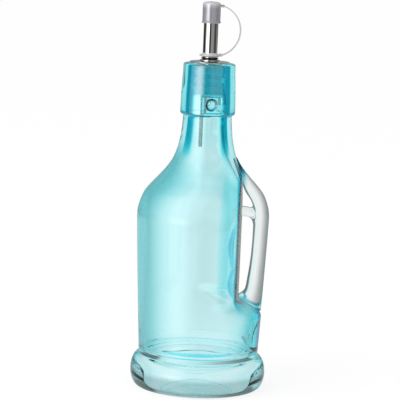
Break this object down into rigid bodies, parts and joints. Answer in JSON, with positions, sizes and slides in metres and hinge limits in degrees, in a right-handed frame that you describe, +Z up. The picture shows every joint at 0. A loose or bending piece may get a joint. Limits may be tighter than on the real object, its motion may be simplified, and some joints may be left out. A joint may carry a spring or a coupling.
{
  "type": "oil cruet",
  "caption": "Round aqua glass oil bottle with a clear glass grip handle inside its outline, and a lift-out steel pourer with a ribbed stopper, an air tube and a tethered dust cap.",
  "frame": {"origin": "centre of the bottle's foot, on the surface it stands on", "axes": "+Z up along the bottle's axis, +X towards the handle"},
  "size_m": [0.0824, 0.0824, 0.235],
  "materials": {
    "aqua_glass": "clear, fire polished",
    "clear_glass": "clear, fire polished",
    "polished_steel": "polished",
    "stopper_plastic": "milky, translucent",
    "cap_plastic": "soft, translucent"
  },
  "bodies": {
    "bottle": {"glass_bottle": "aqua_glass", "glass_handle": "clear_glass"},
    "pourer": {"cover_plate": "polished_steel", "pour_tube": "polished_steel", "air_tube": "polished_steel", "ribbed_stopper": "stopper_plastic"},
    "ring": {"tether_ring": "cap_plastic", "cap_strap": "cap_plastic"},
    "cap": {"dust_cap": "cap_plastic"}
  },
  "joints": [
    {"name": "pourer_lift", "type": "slide", "parent": "bottle", "child": "pourer", "axis": [0, 0, 1], "range_m": [0, 0.055]},
    {"name": "ring_spin", "type": "hinge", "parent": "pourer", "child": "ring", "pos_m": [0, 0, 0.203], "axis": [0, 0, 1], "continuous": true},
    {"name": "cap_pull", "type": "slide", "parent": "ring", "child": "cap", "axis": [0, 0, 1], "range_m": [0, 0.0125], "deforming": ["cap_strap"]}
  ]
}
